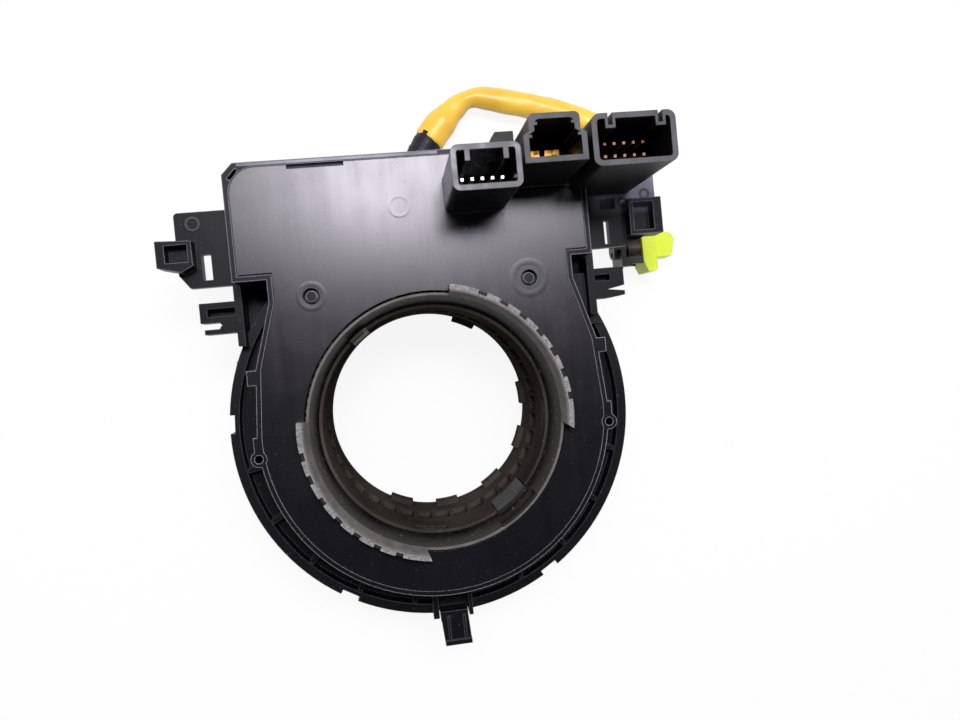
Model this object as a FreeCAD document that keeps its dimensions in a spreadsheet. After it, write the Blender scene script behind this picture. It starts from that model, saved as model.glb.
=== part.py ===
import FreeCAD, Part
import math
import os
import re

import Sketcher

# Steering clock spring: a stator case with its steering angle sensor and
# connectors, and the rotor that turns inside it with the steering wheel.
# The rotor axis is Z. The part lies on the front ends of its rotor, at z = 0,
# and its rear side, with the connectors, faces up. +Y points to the connectors.

SIZES = {
    # Rotor, from its axis outwards
    "bore_rad": 27.1,
    "tooth_rad": 25.7,
    "hub_seat_rad": 27.6,
    "neck_rad": 27.9,
    "gear_seat_rad": 29.1,
    "sleeve_rad": 29.6,
    "hub_rad": 31.4,
    "disc_low": 12.4,
    "disc_thick": 2.0,
    "gear_seat_low": 27.2,
    "neck_high": 5.0,
    "tooth_low": 5.0,
    "tooth_high": 4.2,
    "tooth_span": 13.5,
    "cell_low": 15.5,
    "cell_high": 8.0,
    "cell_deep": 1.3,
    "cell_wide": 3.7,
    "drive_pin_rad": 3.2,
    "drive_pin_place": 42.0,
    "tower_wide": 24.0,
    "tower_deep": 11.0,
    "tower_near": 33.0,
    "tower_wall": 1.2,
    "tower_pin_low": 4.6,
    "outlet_wide": 15.0,
    "outlet_out": 2.5,
    # Clearances
    "run_gap": 0.06,
    "snug_gap": 0.03,
    "fit_gap": 0.2,
    "clear_gap": 0.5,
    # Stator case
    "rim_rad": 50.3,
    "rim_wall": 2.3,
    "rim_low": 13.2,
    "rim_top": 28.0,
    "floor_low": 22.6,
    "floor_thick": 1.5,
    "collar_thick": 1.3,
    "collar_high": 3.6,
    "well_rib": 1.2,
    "notch_wide": 4.6,
    "notch_deep": 1.2,
    "cover_top": 42.0,
    "cover_thick": 1.6,
    "lip_drop": 0.6,
    "wall": 1.2,
    "ledge": 1.0,
    "cover_bore": 30.7,
    "body_rad": 41.6,
    "box_left": 43.6,
    "box_right": 41.1,
    "box_top": 63.6,
    "box_low": 36.4,
    "corner_cut": 2.6,
    "corner_round": 6.0,
    "neck_half": 35.9,
    "neck_low": 31.0,
    "neck_wide": 40.3,
    "neck_turn": 16.0,
    "hook_out": 0.9,
    "neck_hook_out": 2.2,
    "hook_long": 3.5,
    "hook_up": 12.4,
    "hook_down": -3.1,
    "boss_rad": 1.9,
    "boss_down": 4.6,
    "shoulder_low": 22.0,
    "step_left": 22.0,
    "step_low": 53.4,
    "post_rad": 1.3,
    "post_ring": 0.6,
    "post_left": 26.1,
    "post_right": 25.1,
    "post_up": 31.7,
    # Brackets of the case
    "ear_top": 32.0,
    "ear_thick": 2.4,
    "ear_left": 57.5,
    "ear_right": 61.6,
    "ear_up": 55.0,
    "ear_down": 36.8,
    "strip_thick": 1.8,
    "claw_high": 7.0,
    "claw_left": 61.3,
    "claw_slot": 1.9,
    "clip_reach": 9.9,
    "clip_thick": 5.0,
    "foot_top": 30.0,
    "foot_left": 5.0,
    "foot_right": 5.1,
    "foot_near": 44.2,
    "foot_far": 51.0,
    "foot_wall": 1.5,
    "foot_claw_out": 58.4,
    "foot_claw_thick": 2.4,
    # Sensor connector, moulded with the rear cover
    "sensor_left": 6.6,
    "sensor_wide": 14.6,
    "sensor_low": 48.3,
    "sensor_deep": 9.4,
    "socket_top": 66.5,
    "socket_wall": 1.2,
    "socket_floor": 44.5,
    "socket_round": 1.6,
    # Stator connectors of the airbag and of the switches
    "block_right": 55.4,
    "airbag_left": 22.3,
    "airbag_wide": 13.6,
    "airbag_deep": 10.2,
    "switch_left": 37.0,
    "switch_low": 51.8,
    "switch_deep": 11.0,
    "stator_top": 64.5,
    # Terminals
    "pin_size": 0.64,
    "pin_pitch": 2.2,
    "pin_top": 58.0,
    "leaf_wide": 3.4,
    # Steering angle sensor
    "gear_module": 0.8,
    "ring_teeth": 80,
    "first_teeth": 22,
    "second_teeth": 24,
    "gear_high": 4.0,
    "gear_slack": 0.12,
    "cup_wall": 1.0,
    "cup_high": 1.2,
    "axle_roof": 1.0,
    "axle_rad": 1.6,
    "first_place": 76,
    "second_place": 110,
    "magnet_rad": 3.0,
    "magnet_high": 2.0,
    "board_low": 35.6,
    "board_thick": 1.6,
    "chip_high": 1.1,
    # Cancel cam
    "cam_rad": 30.1,
    "lobe_rad": 32.1,
    "lobe_top": 46.2,
    "lobe_low": 42.6,
    "lobe_span": 88.0,
    "lobe_start": -8.5,
    "dish_rad": 28.3,
    "tail_lean": 26.0,
    "tab_start": -62.0,
    "tab_span": 19.0,
    "tab_drop": 2.0,
    # Flat cable room
    "cable_high": 6.0,
    "cable_thick": 0.5,
    "cable_turns": 4,
    "cable_pitch": 3.0,
    "cable_low": 15.4,
    "cable_start": 32.0,
    "lead_angle": 90.0,
    "sheet_thick": 0.3,
    # Airbag lead and its plug
    "cord_rad": 3.2,
    "root_rad": 4.1,
    "cord_lift": 4.2,
    "plug_out": 66.8,
    "plug_drop": 0.5,
    "plug_rise": 2.0,
    "plug_half": 4.6,
    "bar_long": 12.8,
    "bar_wide": 4.0,
    "entry_half": 3.9,
    "entry_long": 1.7,
    "head_long": 5.8,
    "barrel_rad": 3.6,
    "barrel_long": 3.8,
    "barrel_down": 5.6,
    "nose_rad": 2.7,
    "nose_long": 4.0,
}

doc = FreeCAD.newDocument("clock_spring")
sheet = doc.addObject("Spreadsheet::Sheet", "dims")
WORD = re.compile(r"\b(" + "|".join(SIZES) + r")\b")
Z_AXIS = FreeCAD.Vector(0, 0, 1)
nodes = []


def fill_sheet():
    for row, (alias, value) in enumerate(SIZES.items(), start=1):
        sheet.set("A%d" % row, alias)
        sheet.set("B%d" % row, str(value))
        sheet.setAlias("B%d" % row, alias)
    doc.recompute()


def link(text):
    """The expression with each size's name pointing at its cell."""
    return WORD.sub(r"dims.\1", str(text))


def num(text):
    """The value of an expression of sizes."""
    return float(sheet.evalExpression(link(text)))


def bind(obj, prop, text):
    obj.setExpression(prop, link(text))


def place(obj, at=("0", "0", "0"), turn=None):
    for axis, text in zip("xyz", at):
        bind(obj, "Placement.Base." + axis, text)
    if turn is not None:
        bind(obj, "Placement.Rotation.Angle", turn)
    return obj


def box(name, x, y, z, wide, deep, high, turn=None):
    obj = doc.addObject("Part::Box", name)
    bind(obj, "Length", wide)
    bind(obj, "Width", deep)
    bind(obj, "Height", high)
    return place(obj, (x, y, z), turn)


def drum(name, rad, low, high, x="0", y="0", angle=None, turn=None):
    obj = doc.addObject("Part::Cylinder", name)
    bind(obj, "Radius", rad)
    bind(obj, "Height", high)
    if angle is not None:
        bind(obj, "Angle", angle)
    return place(obj, (x, y, low), turn)


def cut(name, base, *tools):
    obj = doc.addObject("Part::Cut", name)
    obj.Base = base
    obj.Tool = tools[0] if len(tools) == 1 else fuse(name + "_tools", *tools)
    return obj


def fuse(name, *shapes):
    obj = doc.addObject("Part::MultiFuse", name)
    obj.Shapes = list(shapes)
    obj.Refine = True
    return obj


def tube(name, rad, inner, low, high, x="0", y="0"):
    return cut(name, drum(name + "_out", rad, low, high, x, y),
               drum(name + "_in", inner, "(%s) - 1" % low, "(%s) + 2" % high, x, y))


def sector(name, rad, inner, low, high, start, span):
    """Part of a ring, from the angle start over span degrees."""
    outer = drum(name + "_out", rad, low, high, angle=span, turn=start)
    core = drum(name + "_in", inner, "(%s) - 1" % low, "(%s) + 2" % high)
    return cut(name, outer, core)


def arc_between(start, end, radius):
    """Arc that bulges right of the way from start to end, or left if radius < 0."""
    chord = end - start
    half = chord.Length / 2
    side = FreeCAD.Vector(-chord.y, chord.x, 0).normalize()
    centre = (start + end) * 0.5 + side * math.copysign(math.sqrt(max(radius ** 2 - half ** 2, 0)), radius)
    first, last = (start, end) if radius > 0 else (end, start)
    circle = Part.Circle(centre, Z_AXIS, abs(radius))
    return Part.ArcOfCircle(circle, math.atan2(first.y - centre.y, first.x - centre.x),
                            math.atan2(last.y - centre.y, last.x - centre.x))


def sketch(name, path, upright=False):
    """Closed outline through corners (x, y) bound to the sheet. A third item is
    the radius of the arc to the next corner."""
    obj = doc.addObject("Sketcher::SketchObject", name)
    if upright:
        obj.Placement = FreeCAD.Placement(FreeCAD.Vector(), FreeCAD.Rotation(FreeCAD.Vector(1, 0, 0), 90))
    points = [FreeCAD.Vector(num(corner[0]), num(corner[1]), 0) for corner in path]
    ends = []
    for index, corner in enumerate(path):
        start, end = points[index], points[(index + 1) % len(points)]
        if len(corner) == 2:
            obj.addGeometry(Part.LineSegment(start, end))
            ends.append((1, 2))
        else:
            radius = num(corner[2])
            obj.addGeometry(arc_between(start, end, radius))
            ends.append((1, 2) if radius > 0 else (2, 1))
    for index, corner in enumerate(path):
        following = (index + 1) % len(path)
        joined = (index, ends[index][1], following, ends[following][0])
        obj.addConstraint(Sketcher.Constraint("Coincident", *joined))
        for kind, text in zip(("DistanceX", "DistanceY"), corner):
            item = obj.addConstraint(Sketcher.Constraint(kind, -1, 1, index, ends[index][0], num(text)))
            bind(obj, "Constraints[%d]" % item, text)
        if len(corner) == 3:
            item = obj.addConstraint(Sketcher.Constraint("Radius", index, abs(num(corner[2]))))
            bind(obj, "Constraints[%d]" % item, "abs(%s)" % corner[2])
    return obj


def plate(name, path, low, high):
    """Outline extruded upwards."""
    obj = doc.addObject("Part::Extrusion", name)
    obj.Base = sketch(name + "_sketch", path)
    obj.DirMode = "Normal"
    obj.Solid = True
    bind(obj, "LengthFwd", high)
    return place(obj, ("0", "0", low))


def spun(name, path, span="360", start=None):
    """Outline of (radius, height) corners revolved about the axis."""
    obj = doc.addObject("Part::Revolution", name)
    obj.Source = sketch(name + "_sketch", path, upright=True)
    obj.Axis = Z_AXIS
    obj.Solid = True
    bind(obj, "Angle", span)
    return place(obj, turn=start)


def round_box(name, x, y, wide, deep, radius, low, high):
    """Upright block with rounded vertical edges."""
    left, right = "(%s)" % x, "(%s) + (%s)" % (x, wide)
    near, far = "(%s)" % y, "(%s) + (%s)" % (y, deep)
    path = [
        (left + " + " + radius, near), (right + " - " + radius, near, radius),
        (right, near + " + " + radius), (right, far + " - " + radius, radius),
        (right + " - " + radius, far), (left + " + " + radius, far, radius),
        (left, far + " - " + radius), (left, near + " + " + radius, radius),
    ]
    return plate(name, path, low, high)


def solid(name, shape):
    """Sub-part whose shape is made here from the sheet's values."""
    obj = doc.addObject("Part::Feature", name)
    obj.Shape = shape
    obj.Placement = FreeCAD.Placement()
    return obj


def node(obj, name):
    obj.Label = name
    nodes.append(obj)
    return obj


fill_sheet()


# Stator case

def case_path(inset, rounded):
    """Outline of the case's rear side, moved inwards by inset. The corner at the
    upper left is a chamfer outside and round inside."""
    shape = {"i": "(%s)" % inset}
    if rounded:
        corner = [("-box_left + {i} + corner_round", "box_top - {i}", "corner_round"),
                  ("-box_left + {i}", "box_top - {i} - corner_round")]
    else:
        corner = [("-box_left + corner_cut", "box_top"), ("-box_left", "box_top - corner_cut")]
    path = corner + [
        ("-box_left + {i}", "box_low + {i}"),
        ("-neck_half + {i}", "box_low + {i}"),
        ("-neck_half + {i}", "neck_low"),
        ("-neck_wide + {i}", "neck_turn"),
        ("-body_rad + {i}", "0", "body_rad - {i}"),
        ("0", "-body_rad + {i}", "body_rad - {i}"),
        ("body_rad - {i}", "0"),
        ("neck_wide - {i}", "neck_turn"),
        ("neck_half - {i}", "neck_low"),
        ("neck_half - {i}", "box_low + {i}"),
        ("box_right - {i}", "box_low + {i}"),
        ("box_right - {i}", "step_low - {i}"),
        ("step_left - {i}", "step_low - {i}"),
        ("step_left - {i}", "box_top - {i}"),
    ]
    return [tuple(text.format(**shape) for text in item) for item in path]


def rim_parts():
    """Round stator rim round the flat cable room, with the ribs of its well."""
    ring = spun("rim_ring", [
        ("sleeve_rad + run_gap", "floor_low"),
        ("rim_rad - rim_wall", "floor_low"),
        ("rim_rad - rim_wall", "rim_low"),
        ("rim_rad", "rim_low"),
        ("rim_rad", "rim_top"),
        ("rim_rad - rim_wall", "rim_top"),
        ("rim_rad - rim_wall", "floor_low + floor_thick"),
        ("sleeve_rad + run_gap", "floor_low + floor_thick"),
    ])
    ribs = []
    for angle in range(-170, 0, 17):
        ribs.append(box("well_rib_%d" % -angle,
                        "(body_rad - wall) * cos(%d)" % angle, "(body_rad - wall) * sin(%d)" % angle,
                        "floor_low", "rim_rad - body_rad + wall - 1", "well_rib",
                        "rim_top - floor_low - 1", turn=str(angle)))
    return [ring] + ribs


def rim_notches():
    """Bayonet notches in the outer edge of the rim."""
    notches = []
    for count, angle in enumerate((-58.5, -120.5, 176.5), start=1):
        notches.append(box("rim_notch_%d" % count,
                           "(rim_rad - notch_deep) * cos({0}) + notch_wide / 2 * sin({0})".format(angle),
                           "(rim_rad - notch_deep) * sin({0}) - notch_wide / 2 * cos({0})".format(angle),
                           "rim_low - 1", "notch_deep + 2", "notch_wide",
                           "rim_top - rim_low + 2", turn=str(angle)))
    return notches


def left_bracket():
    """Ear with its claw and the lower clip, left of the case."""
    ear = plate("left_ear", [
        ("-ear_left + 1", "ear_up", "1"), ("-ear_left", "ear_up - 1"),
        ("-ear_left", "ear_down + 3.2"), ("-ear_left + 2.4", "ear_down"),
        ("-box_left + wall", "ear_down"), ("-box_left + wall", "ear_up"),
    ], "ear_top - ear_thick", "ear_thick")
    claw = plate("left_claw_block", [
        ("-claw_left", "ear_down + 11.2"), ("-claw_left", "ear_down + 4.9"),
        ("-claw_left + 5.4", "ear_down + 3.5"), ("-claw_left + 8.2", "ear_down + 4.9"),
        ("-claw_left + 8.2", "ear_down + 10.8"),
    ], "ear_top - ear_thick", "claw_high - 0.6")
    claw_room = box("left_claw_room", "-claw_left + 2", "ear_down + 5.9", "ear_top + 0.4",
                    "5.2", "4.1", "claw_high")
    claw_slot = box("left_claw_slot", "-ear_left + 5.6", "ear_down + 1.7", "ear_top - ear_thick - 1",
                    "claw_slot + 0.3", "6.2", "ear_thick + 2")
    strip = box("left_strip", "-box_left - strip_thick", "shoulder_low", "floor_low",
                "strip_thick", "ear_down - shoulder_low + 2", "ear_top - floor_low")
    clip = plate("left_clip", [
        ("-box_left - strip_thick - clip_reach + 1.6", "33"),
        ("-box_left - strip_thick - clip_reach + 1.6", "28.2"),
        ("-box_left - strip_thick - 3.9", "28.2"),
        ("-box_left - strip_thick - 3.3", "27.4", "0.9"),
        ("-box_left - strip_thick - 3.9", "26.6"),
        ("-box_left - strip_thick - clip_reach + 2.4", "26.6"),
        ("-box_left - strip_thick - clip_reach + 2.4", "25.4"),
        ("-box_left", "25.4"), ("-box_left", "33"),
    ], "ear_top - clip_thick", "clip_thick")
    clip_room = box("left_clip_room", "-box_left - clip_reach + 1.6", "29.6", "ear_top - clip_thick + 1.4",
                    "clip_reach - 3.4", "1.9", "clip_thick")
    body = fuse("left_bracket", ear, claw, strip, clip)
    return cut("left_bracket_cut", body, claw_room, claw_slot, clip_room)


def right_bracket():
    """Ear under the stator connectors, with its claw box and the lower clip."""
    ear = plate("right_ear", [
        ("box_right - wall", "ear_down + 1.6"), ("53", "ear_down + 1.8"),
        ("ear_right", "ear_down + 5.4"), ("ear_right", "box_top"), ("step_left - wall", "box_top"),
        ("step_left - wall", "step_low - wall"), ("box_right - wall", "step_low - wall"),
    ], "ear_top - ear_thick", "ear_thick")
    claw = box("right_claw_block", "ear_right - 8.4", "ear_down + 4", "ear_top - ear_thick",
               "8.4", "9", "claw_high - 0.6")
    claw_room = box("right_claw_room", "ear_right - 7.4", "ear_down + 5", "ear_top + 0.4",
                    "5.2", "7", "claw_high")
    claw_slot = box("right_claw_slot", "box_right + 6.4", "ear_down + 2.6", "ear_top - ear_thick - 1",
                    "claw_slot - 0.6", "5.9", "ear_thick + 2")
    window = box("right_window", "box_right + 5.8", "ear_down + 11.4", "ear_top - ear_thick + 0.8",
                 "4", "2.8", "ear_thick")
    strip = box("right_strip", "box_right + 1", "shoulder_low", "floor_low",
                "strip_thick", "ear_down - shoulder_low + 3", "ear_top - floor_low")
    clip = plate("right_clip", [
        ("box_right + 1", "25.7"), ("box_right + strip_thick + 4.5", "25.7"),
        ("box_right + strip_thick + 8.6", "26.2"), ("box_right + strip_thick + 8.6", "27.3"),
        ("box_right + strip_thick + 4.2", "27.9"), ("box_right + strip_thick + 8.6", "28.7"),
        ("box_right + strip_thick + 8.6", "33.4"), ("box_right + 1", "33.4"),
    ], "ear_top - clip_thick", "clip_thick")
    clip_room = box("right_clip_room", "box_right + strip_thick + 1", "30.2", "ear_top - clip_thick + 1.4",
                    "4", "1.5", "clip_thick")
    body = fuse("right_bracket", ear, claw, strip, clip)
    return cut("right_bracket_cut", body, claw_room, claw_slot, window, clip_room)


def shoulders():
    """Floors that close the corners between the neck, the strips and the rim."""
    left = plate("left_shoulder", [
        ("-box_left - strip_thick + 0.4", "box_low + 1"), ("-box_left - strip_thick + 0.4", "shoulder_low"),
        ("-rim_rad + rim_wall", "shoulder_low - 4"), ("-neck_wide + 0.6", "shoulder_low - 4"),
        ("-neck_half + 0.6", "neck_low"), ("-neck_half + 0.6", "box_low + 1"),
    ], "floor_low", "floor_thick")
    right = plate("right_shoulder", [
        ("box_right + 1.4", "box_low + 1"), ("box_right + 1.4", "shoulder_low"),
        ("rim_rad - rim_wall", "shoulder_low - 4"), ("neck_wide - 0.6", "shoulder_low - 4"),
        ("neck_half - 0.6", "neck_low"), ("neck_half - 0.6", "box_low + 1"),
    ], "floor_low", "floor_thick")
    deck = plate("right_deck", [
        ("box_right + 1.4", "neck_low + 1.8"), ("box_right + 1.4", "shoulder_low"),
        ("rim_rad - rim_wall - 2.4", "shoulder_low - 2.4"), ("neck_wide - 1.6", "shoulder_low - 2.4"),
        ("neck_half - 0.6", "neck_low + 1.8"),
    ], "ear_top - clip_thick", "strip_thick")
    return [left, right, deck]


def side_hooks():
    """Snap tabs and screw bosses on both flanks of the case."""
    top = "cover_top - lip_drop"
    hooks = []
    for count, side in enumerate((-1, 1), 1):
        corner = "-neck_wide - neck_hook_out" if side < 0 else "neck_wide - 0.4"
        hooks.append(box("upper_hook_%d" % count, corner, "hook_up", top + " - 8",
                         "neck_hook_out + 0.4", "hook_long", "8"))
        corner = "-body_rad - hook_out" if side < 0 else "body_rad - wall / 2"
        hooks.append(box("lower_hook_%d" % count, corner, "hook_down", top + " - 8",
                         "hook_out + wall / 2", "hook_long", "8"))
        hooks.append(drum("boss_%d" % count, "boss_rad", "floor_low", top + " - floor_low",
                          "%d * body_rad" % side, "-boss_down"))
    return hooks


def foot_guard():
    """Open guard round the spring claw at the bottom of the rim."""
    return plate("foot_guard", [
        ("-foot_left", "-foot_near"), ("-foot_left", "-foot_far"), ("foot_right", "-foot_far"),
        ("foot_right", "-foot_near"),
    ], "rim_low + 4", "foot_top - rim_low - 4")


def foot_room():
    return box("foot_room", "-foot_left + foot_wall", "-foot_far - 1", "floor_low + floor_thick",
               "foot_left + foot_right - foot_wall - 1", "foot_far - foot_near", "foot_top - floor_low")


def foot_claw():
    """Spring claw: a leg on the rim, the tongue on it and the catch at its end."""
    left = "-foot_left + foot_wall + 0.3"
    wide = "foot_left + foot_right - foot_wall - 1.6"
    leg = box("foot_leg", left, "-foot_far - 1.2", "rim_low + 2", wide, "foot_claw_thick",
              "foot_top - rim_low - 3")
    tongue = plate("foot_tongue", [
        (left, "-foot_far"), (left + " + 0.6", "-foot_claw_out"),
        (left + " + 0.4 + " + wide, "-foot_claw_out"), (left + " + " + wide, "-foot_far"),
    ], "foot_top - 1 - foot_claw_thick", "foot_claw_thick")
    catch = box("foot_catch", left + " + 0.6", "-foot_claw_out", "foot_top - 4.4",
                wide + " - 0.2", "1.2", "3.9")
    ribs = [box("foot_rib_%d" % count, left + " + %s" % shift, "-foot_claw_out + 1", "foot_top - 1.2",
                "0.6", "foot_claw_out - foot_far - 1", "0.6")
            for count, shift in enumerate(("1.6", "5.6"), 1)]
    return [leg, tongue, catch] + ribs


def gear_place(teeth, angle):
    """Axis of a measuring gear in mesh with the ring gear."""
    reach = "((ring_teeth + %s) * gear_module / 2 + gear_slack)" % teeth
    return "%s * cos(%s)" % (reach, angle), "%s * sin(%s)" % (reach, angle)


def axle(name, teeth, angle):
    """Pin and shoulder that a measuring gear turns on."""
    x, y = gear_place(teeth, angle)
    low = "floor_low + floor_thick - 0.2"
    return [drum(name + "_shoulder", "axle_rad + 1.4", low, "gear_seat_low - (%s)" % low, x, y),
            drum(name + "_pin", "axle_rad", low, "gear_seat_low + gear_high - 1.2 - (%s)" % low, x, y)]


def post(name, x, y):
    """Heat stake that holds the rear cover."""
    low = "floor_low + floor_thick - 0.2"
    return [drum(name + "_foot", "post_rad + 1.1", low, "cover_top - cover_thick - (%s)" % low, x, y),
            drum(name + "_stake", "post_rad", low, "cover_top - 0.4 - (%s)" % low, x, y)]


def board_rest(name, x, y):
    low = "floor_low + floor_thick - 0.2"
    return drum(name, "1.8", low, "board_low - (%s)" % low, x, y)


def stator_case():
    tub = plate("tub", case_path("0", False), "floor_low", "cover_top - lip_drop - floor_low")
    outside = fuse("case_outside", tub, *rim_parts())
    room = plate("tub_room", case_path("wall + ledge", True), "floor_low + floor_thick", "cover_top")
    seat = plate("tub_seat", case_path("wall", True), "cover_top - cover_thick", "cover_thick + 1")
    throat = drum("tub_throat", "sleeve_rad + run_gap", "floor_low - 1", "floor_thick + 2")
    shell = cut("tub_shell", outside, room, seat, throat)
    collar = tube("bearing_collar", "sleeve_rad + run_gap + collar_thick", "sleeve_rad + run_gap",
                  "floor_low", "collar_high")
    rests = [board_rest("rest_%d" % count, x, y) for count, (x, y) in enumerate((
        ("-box_left + 6.5", "41"), ("-box_left + 6.5", "57"), ("box_right - 6.5", "41"), ("2.5", "57")), 1)]
    solids = [shell, collar, left_bracket(), right_bracket()] + shoulders() + side_hooks() + rests
    solids += axle("first_axle", "first_teeth", "first_place")
    solids += axle("second_axle", "second_teeth", "second_place")
    solids += post("left_post", "-post_left", "post_up") + post("right_post", "post_right", "post_up")
    corner_slot = plate("corner_slot", [
        ("-box_left + 1.1", "box_top - 3.5"), ("-box_left + 1.9", "box_top - 3.9"),
        ("-box_left + 3.7", "box_top - 1.9"), ("-box_left + 3.2", "box_top - 1.3"),
    ], "floor_low - 1", "cover_top")
    lead_window = sector("lead_window", "rim_rad - rim_wall", "cable_start + cable_pitch * cable_turns - 1.3",
                         "floor_low - 1", "floor_thick + 1.5", "lead_angle - 0.5", "13")
    boss_holes = [drum("boss_hole_%d" % count, "boss_rad / 2", "cover_top - 8", "8",
                       "%d * body_rad" % side, "-boss_down") for count, side in enumerate((-1, 1), 1)]
    body = fuse("case_body", foot_guard(), *solids)
    shaped = cut("case_shaped", body, corner_slot, lead_window, foot_room(), *(boss_holes + rim_notches()))
    return node(fuse("stator_case", shaped, *foot_claw()), "stator_case")


# Rear cover with the sensor connector

def sensor_pin_x(count):
    return "sensor_left + (sensor_wide - 4 * pin_pitch - pin_size) / 2 + %d * pin_pitch" % count


SENSOR_PIN_Y = "sensor_low + sensor_deep / 2 - pin_size / 2 - 0.6"


def rear_cover():
    inset = "wall + fit_gap"
    field = plate("cover_field", case_path(inset, True), "cover_top - cover_thick", "cover_thick")
    shroud = round_box("sensor_shroud", "sensor_left", "sensor_low", "sensor_wide", "sensor_deep",
                       "socket_round", "cover_top - 0.4", "socket_top - cover_top + 0.4")
    room = round_box("sensor_room", "sensor_left + socket_wall", "sensor_low + socket_wall",
                     "sensor_wide - 2 * socket_wall", "sensor_deep - 2 * socket_wall", "0.5",
                     "socket_floor", "socket_top - socket_floor + 1")
    keys = [box("sensor_key_%d" % count, "sensor_left + %s" % shift,
                "sensor_low + sensor_deep - socket_wall - 2.2", "socket_floor - 0.5",
                "1.1", "2.6", "socket_top - socket_floor + 0.5")
            for count, shift in enumerate(("2.9", "10.9"), 1)]
    holes = [box("sensor_hole_%d" % count, sensor_pin_x(count), SENSOR_PIN_Y, "cover_top - 4",
                 "pin_size", "pin_size", "6.5") for count in range(5)]
    stakes = [drum("cover_stake_%d" % count, "post_rad + post_ring", "cover_top - 3", "4", x, "post_up")
              for count, x in enumerate(("-post_left", "post_right"), 1)]
    bore = drum("cover_opening", "cover_bore", "cover_top - 3", "5")
    notch = box("cover_notch", "-28.8", "box_top - wall - fit_gap - 0.9", "cover_top - 3", "12.9", "2", "5")
    round_bosses = [drum("cover_boss_%d" % count, "boss_rad + fit_gap", "cover_top - 3", "4",
                         "%d * body_rad" % side, "-boss_down") for count, side in enumerate((-1, 1), 1)]
    shell = fuse("cover_shell", cut("shroud_shell", shroud, room), field, *keys)
    return node(cut("rear_cover", shell, bore, notch, *(holes + stakes + round_bosses)), "rear_cover")


def pins(name, low, top, spots):
    """Square terminals, one at each (x, y) of their lower left corner."""
    solids = [box("%s_%d" % (name, count), x, y, low, "pin_size", "pin_size", "(%s) - (%s)" % (top, low))
              for count, (x, y) in enumerate(spots)]
    return node(fuse(name, *solids), name)


def sensor_pins():
    spots = [(sensor_pin_x(count), SENSOR_PIN_Y) for count in range(5)]
    return pins("sensor_pins", "board_low - 1", "pin_top", spots)


# Stator connectors

AIRBAG_PINS = [("airbag_left + 2.4 + %s" % shift, "step_low + 3") for shift in ("0", "2.4", "5.4", "7.8")]
SWITCH_PINS = [("switch_left + 2.6 + %d * pin_pitch" % count, "switch_low + %s" % up)
               for up in ("3.6", "6.4") for count in range(6)]


def airbag_path(inset):
    """Socket with a narrower upper part and round top corners."""
    shape = {"i": "(%s)" % inset, "right": "airbag_left + airbag_wide", "top": "step_low + airbag_deep"}
    path = [
        ("airbag_left + {i}", "step_low + {i}"), ("{right} - {i}", "step_low + {i}"),
        ("{right} - {i}", "{top} - 4.4"), ("{right} - 1.3 - {i}", "{top} - 3.6"),
        ("{right} - 1.3 - {i}", "{top} - 1.2 - {i}", "1.2"), ("{right} - 2.5 - {i}", "{top} - {i}"),
        ("airbag_left + 2.5 + {i}", "{top} - {i}", "1.2"), ("airbag_left + 1.3 + {i}", "{top} - 1.2 - {i}"),
        ("airbag_left + 1.3 + {i}", "{top} - 3.6"), ("airbag_left + {i}", "{top} - 4.4"),
    ]
    return [tuple(text.format(**shape) for text in item) for item in path]


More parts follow.
